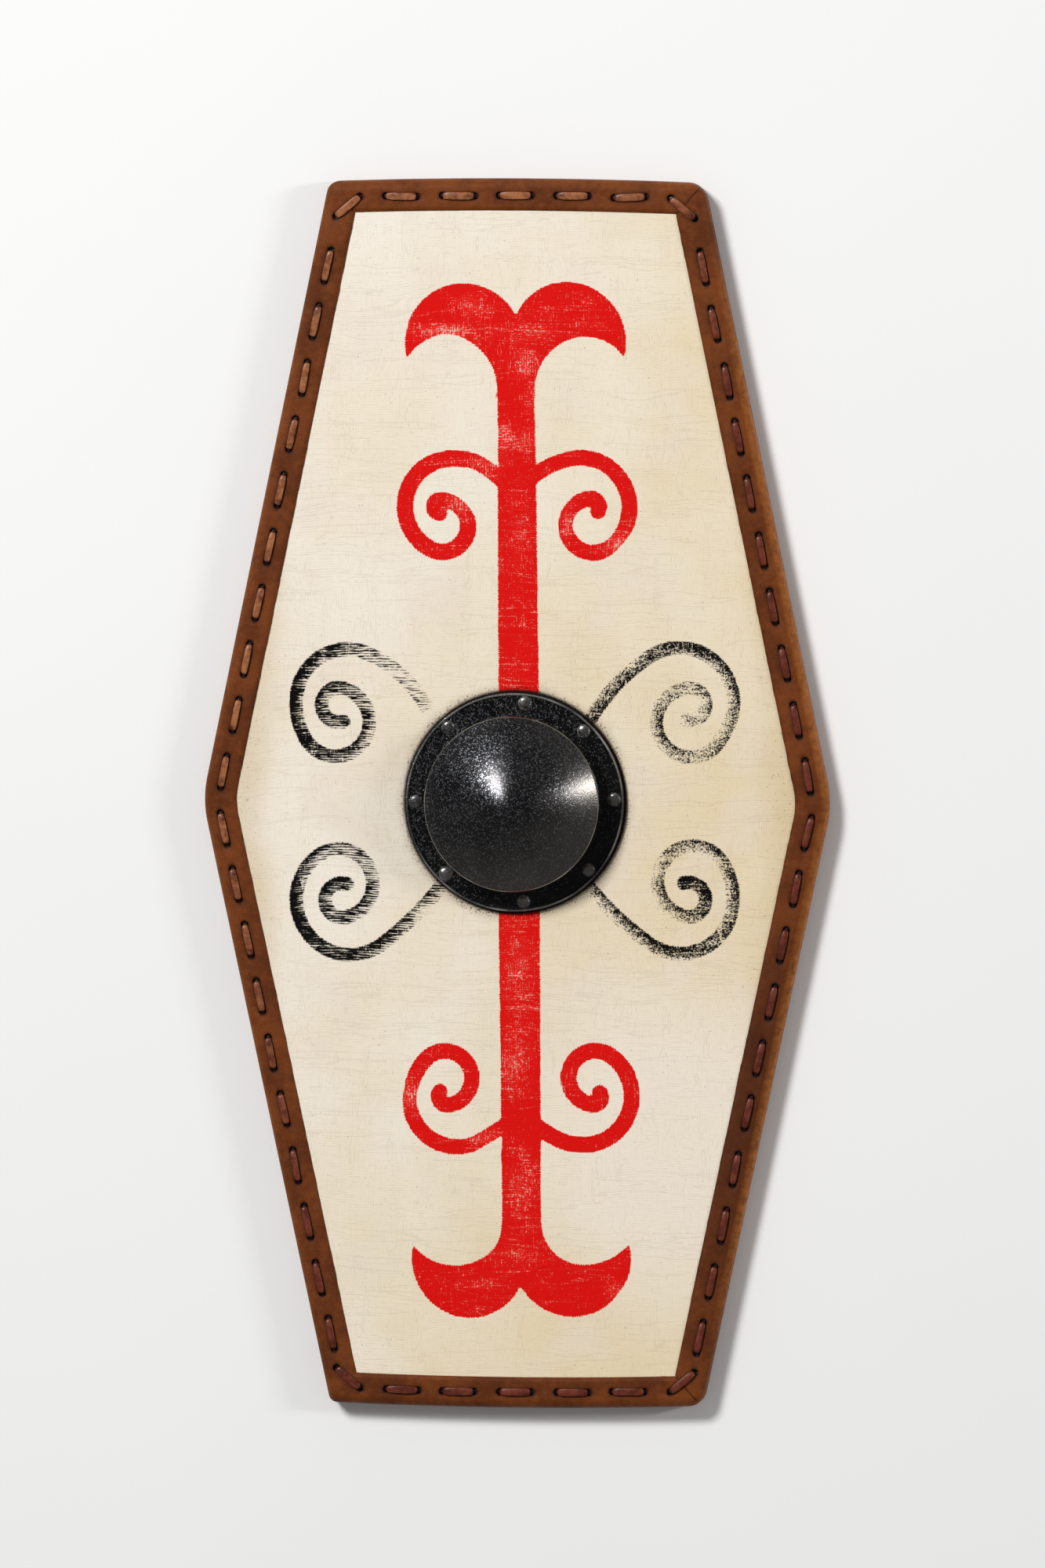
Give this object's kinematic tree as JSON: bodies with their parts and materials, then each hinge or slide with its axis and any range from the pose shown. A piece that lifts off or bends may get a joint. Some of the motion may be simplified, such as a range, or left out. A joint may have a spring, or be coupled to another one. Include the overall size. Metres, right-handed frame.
{
  "type": "germanic hexagonal shield",
  "caption": "Long six-sided hand shield with a scroll-painted linen face, a laced leather edge, a riveted central boss and a wrapped wooden grip across its hand hole.",
  "frame": {"origin": "middle of the shield's outline, on the plane it lies on: the back of its leather edge", "axes": "+Z out of the painted face, away from the ground it lies on; +Y to the top of the painted design; +X to the right as the face is looked at"},
  "size_m": [0.51, 1, 0.0853],
  "materials": {
    "foam": "closed-cell foam board with a dark latex coat on its back, matt and finely pebbled",
    "painted_linen": "cream painted linen with dry-brushed red and black scrolls, the weave showing through, lightly varnished",
    "rim_leather": "brown oiled leather, paler where it folds round the edge",
    "thong_leather": "narrow red-brown thong with a slight sheen",
    "graphite_paint": "moulded, sprayed graphite with a silvery speckle and rubbed bright edges, satin",
    "grip_wood": "oiled ash",
    "grip_leather": "dark brown sleeve, worn smooth",
    "nail_steel": "dull grey steel"
  },
  "bodies": {
    "root": {"board": "foam", "linen_facing": "painted_linen", "rim_top": "rim_leather", "rim_right": "rim_leather", "rim_bottom": "rim_leather", "rim_left": "rim_leather", "lace_top": "thong_leather", "lace_right": "thong_leather", "lace_bottom": "thong_leather", "lace_left": "thong_leather", "boss": "graphite_paint", "boss_rivet_1": "graphite_paint", "boss_rivet_2": "graphite_paint", "boss_rivet_3": "graphite_paint", "boss_rivet_4": "graphite_paint", "boss_rivet_5": "graphite_paint", "boss_rivet_6": "graphite_paint", "boss_rivet_7": "graphite_paint", "boss_rivet_8": "graphite_paint", "grip": "grip_wood", "grip_wrap": "grip_leather", "grip_nail_left": "nail_steel", "grip_nail_right": "nail_steel"}
  },
  "joints": []
}
